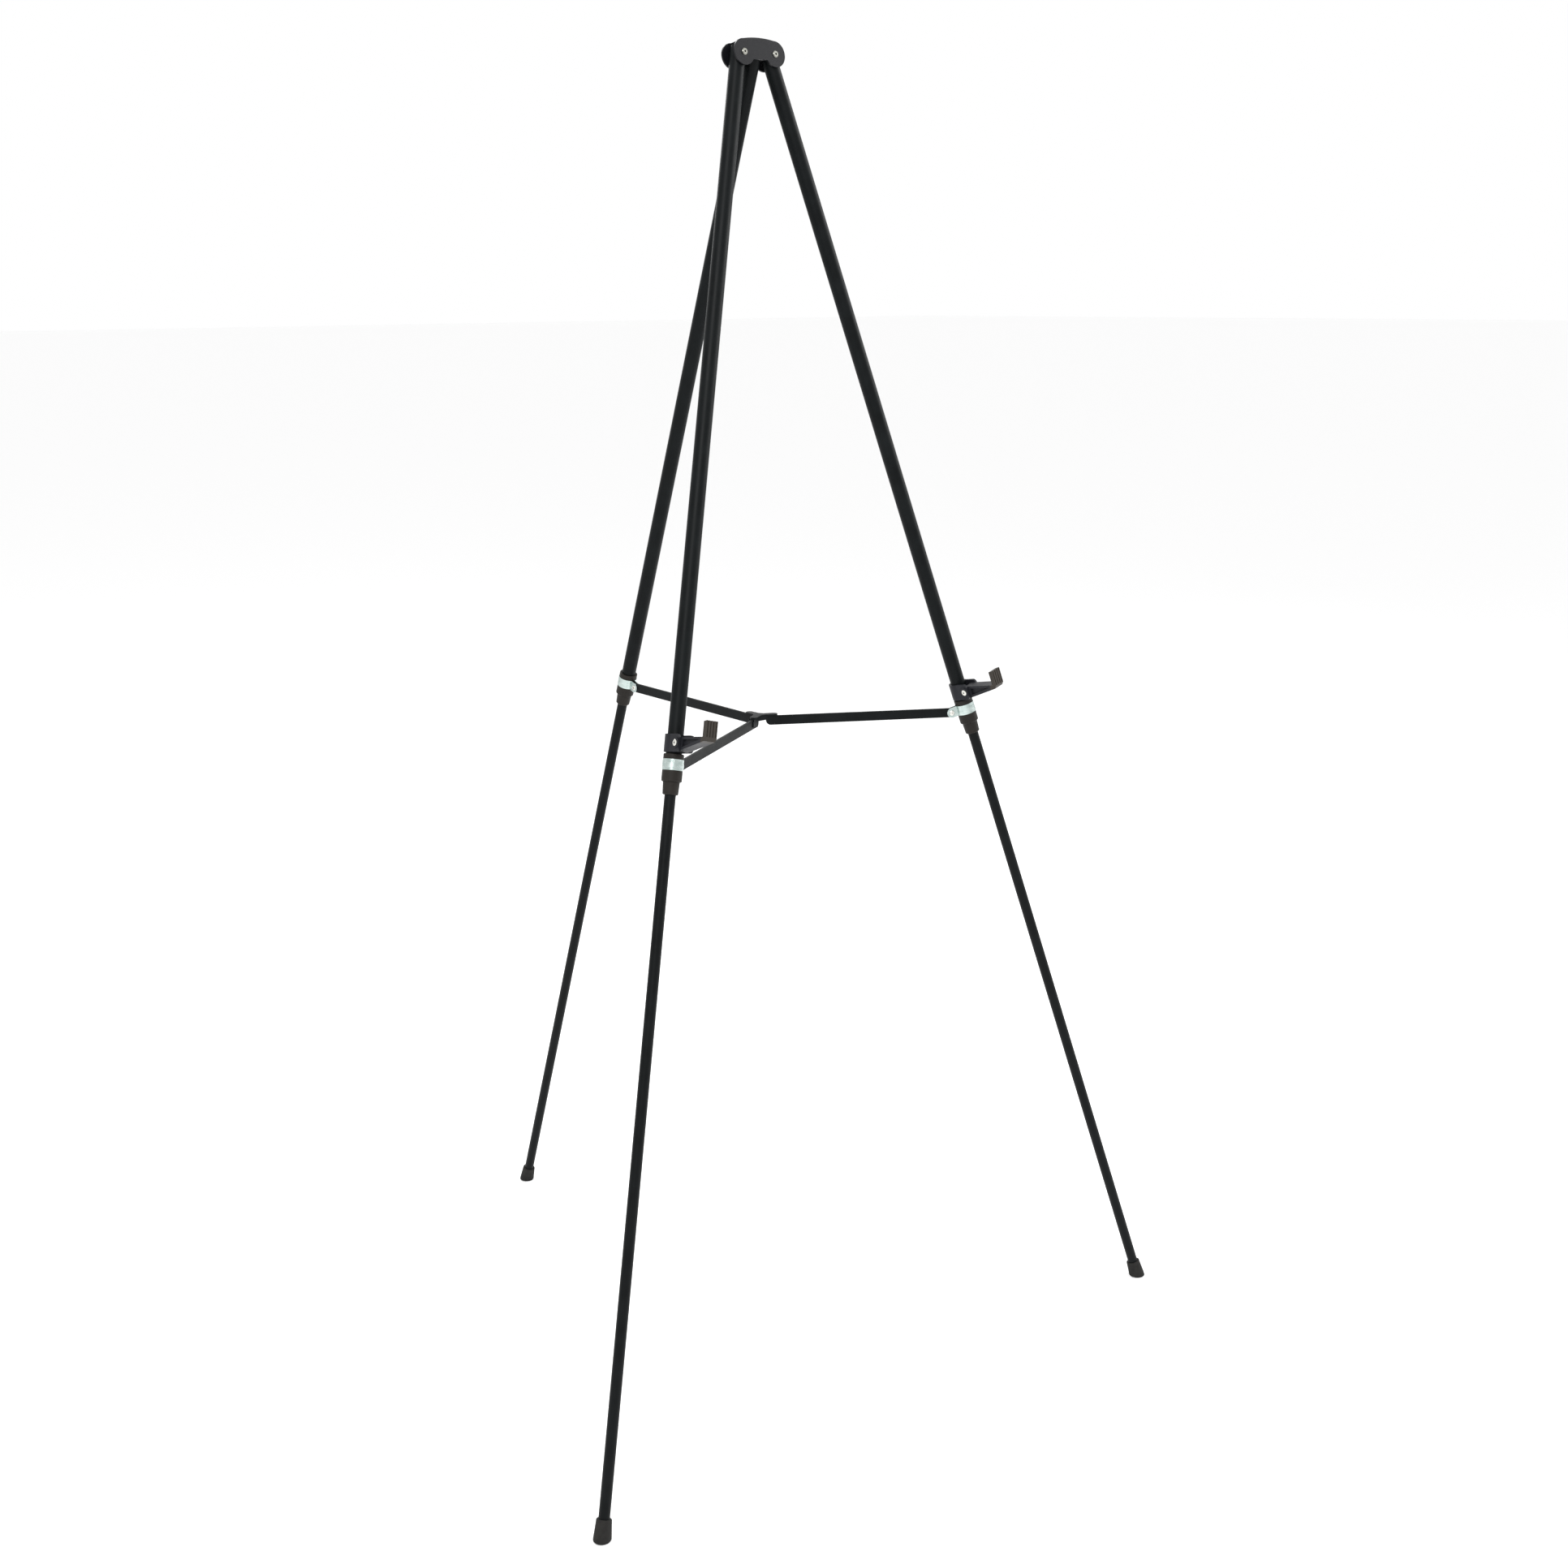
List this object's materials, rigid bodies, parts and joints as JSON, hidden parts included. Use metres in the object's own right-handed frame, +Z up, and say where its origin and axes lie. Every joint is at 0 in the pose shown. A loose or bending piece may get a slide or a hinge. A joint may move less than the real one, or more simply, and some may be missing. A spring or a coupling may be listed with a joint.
{
  "type": "tripod display easel",
  "caption": "Folding tripod easel with telescoping legs, a hinged head, a three-arm brace and two fold-up rests for a board.",
  "frame": {"origin": "centre of the bounding box at the floor", "axes": "+Z up, front towards -Y, where the two rests point"},
  "size_m": [0.9732, 0.8792, 1.674],
  "materials": {
    "black_metal": "satin",
    "black_plastic": "satin",
    "zinc": "polished",
    "rubber": "matte"
  },
  "bodies": {
    "head": {"head_shell": "black_plastic", "head_rivets": "zinc", "rear_leg_pin": "zinc"},
    "leg_a": {"upper_tube_a": "black_metal", "collar_a": "black_plastic", "holder_ring_a": "black_plastic", "holder_rivet_a": "zinc"},
    "extension_a": {"lower_tube_a": "black_metal", "guide_bush_a": "black_plastic", "foot_a": "rubber"},
    "nut_a": {"lock_nut_a": "black_plastic"},
    "band_a": {"band_clamp_a": "zinc", "band_rivet_a": "zinc"},
    "arm_a": {"brace_arm_a": "black_metal", "arm_end_stud_a": "zinc"},
    "rest_a": {"holder_arm_a": "black_plastic"},
    "leg_b": {"upper_tube_b": "black_metal", "collar_b": "black_plastic", "holder_ring_b": "black_plastic", "holder_rivet_b": "zinc"},
    "extension_b": {"lower_tube_b": "black_metal", "guide_bush_b": "black_plastic", "foot_b": "rubber"},
    "nut_b": {"lock_nut_b": "black_plastic"},
    "band_b": {"band_clamp_b": "zinc", "band_rivet_b": "zinc"},
    "arm_b": {"brace_arm_b": "black_metal", "arm_end_stud_b": "zinc"},
    "rest_b": {"holder_arm_b": "black_plastic"},
    "leg_c": {"upper_tube_c": "black_metal", "collar_c": "black_plastic", "band_clamp_c": "zinc", "band_rivet_c": "zinc"},
    "extension_c": {"lower_tube_c": "black_metal", "guide_bush_c": "black_plastic", "foot_c": "rubber"},
    "nut_c": {"lock_nut_c": "black_plastic"},
    "arm_c": {"brace_arm_c": "black_metal"},
    "bracket": {"brace_bracket": "black_metal", "bracket_rivet": "zinc"}
  },
  "joints": [
    {"name": "fold", "type": "hinge", "parent": "head", "child": "leg_c", "pos_m": [0, -0.158, 1.655], "axis": [-1, 0, 0], "range_deg": [0, 22]},
    {"name": "front_leg_spread_a", "type": "hinge", "parent": "head", "child": "leg_a", "pos_m": [-0.024, -0.158, 1.655], "axis": [0, -0.9869, 0.1616], "range_deg": [0, 14.45]},
    {"name": "band_swivel_a", "type": "hinge", "parent": "leg_a", "child": "band_a", "pos_m": [-0.24468, -0.29031, 0.84698], "axis": [0.2602, 0.156, 0.9529], "range_deg": [0, 75.1]},
    {"name": "front_leg_spread_b", "type": "hinge", "parent": "head", "child": "leg_b", "pos_m": [0.024, -0.158, 1.655], "axis": [0, 0.9869, -0.1616], "range_deg": [0, 14.45]},
    {"name": "band_swivel_b", "type": "hinge", "parent": "leg_b", "child": "band_b", "pos_m": [0.24468, -0.29031, 0.84698], "axis": [0.2602, -0.156, -0.9529], "range_deg": [0, 75.1]},
    {"name": "brace_arm_swing_a", "type": "hinge", "parent": "band_a", "child": "arm_a", "pos_m": [-0.22787, -0.28132, 0.84092], "axis": [0.4758, -0.8795, 0.0141], "range_deg": [0, 71.1]},
    {"name": "brace_arm_swing_b", "type": "hinge", "parent": "band_b", "child": "arm_b", "pos_m": [0.22787, -0.28132, 0.84092], "axis": [0.4758, 0.8795, -0.0141], "range_deg": [0, 71.1]},
    {"name": "brace_arm_swing_c", "type": "hinge", "parent": "leg_c", "child": "arm_c", "pos_m": [0, 0.10662, 0.8491], "axis": [-1, 0, 0], "range_deg": [0, 71.1]},
    {"name": "bracket_level", "type": "hinge", "parent": "arm_c", "child": "bracket", "pos_m": [0, -0.143, 0.84364], "axis": [1, 0, 0], "range_deg": [0, 93.1]},
    {"name": "leg_slide_a", "type": "slide", "parent": "leg_a", "child": "extension_a", "axis": [0.2602, 0.156, 0.9529], "range_m": [0, 0.7]},
    {"name": "leg_slide_b", "type": "slide", "parent": "leg_b", "child": "extension_b", "axis": [-0.2602, 0.156, 0.9529], "range_m": [0, 0.7]},
    {"name": "leg_slide_c", "type": "slide", "parent": "leg_c", "child": "extension_c", "axis": [0, -0.3343, 0.9425], "range_m": [0, 0.7]},
    {"name": "lock_nut_twist_a", "type": "hinge", "parent": "leg_a", "child": "nut_a", "pos_m": [-0.25119, -0.29421, 0.82316], "axis": [0.2602, 0.156, 0.9529], "range_deg": [0, 90]},
    {"name": "lock_nut_twist_b", "type": "hinge", "parent": "leg_b", "child": "nut_b", "pos_m": [0.25119, -0.29421, 0.82316], "axis": [-0.2602, 0.156, 0.9529], "range_deg": [0, 90]},
    {"name": "lock_nut_twist_c", "type": "hinge", "parent": "leg_c", "child": "nut_c", "pos_m": [0, 0.13383, 0.83222], "axis": [0, -0.3343, 0.9425], "range_deg": [0, 90]},
    {"name": "rest_fold_a", "type": "hinge", "parent": "leg_a", "child": "rest_a", "pos_m": [-0.23888, -0.30314, 0.87373], "axis": [-0.9647, 0.0844, 0.2496], "range_deg": [0, 65]},
    {"name": "rest_fold_b", "type": "hinge", "parent": "leg_b", "child": "rest_b", "pos_m": [0.23888, -0.30314, 0.87373], "axis": [-0.9647, -0.0844, -0.2496], "range_deg": [0, 65]}
  ],
  "couplings": [
    {"joint": "front_leg_spread_a", "follows": "fold", "ratio": 0.65455},
    {"joint": "band_swivel_a", "follows": "fold", "ratio": 3.4091},
    {"joint": "front_leg_spread_b", "follows": "fold", "ratio": 0.65455},
    {"joint": "band_swivel_b", "follows": "fold", "ratio": 3.4091},
    {"joint": "brace_arm_swing_a", "follows": "fold", "ratio": 3.2273},
    {"joint": "brace_arm_swing_b", "follows": "fold", "ratio": 3.2273},
    {"joint": "brace_arm_swing_c", "follows": "fold", "ratio": 3.2273},
    {"joint": "bracket_level", "follows": "fold", "ratio": 4.2273}
  ]
}
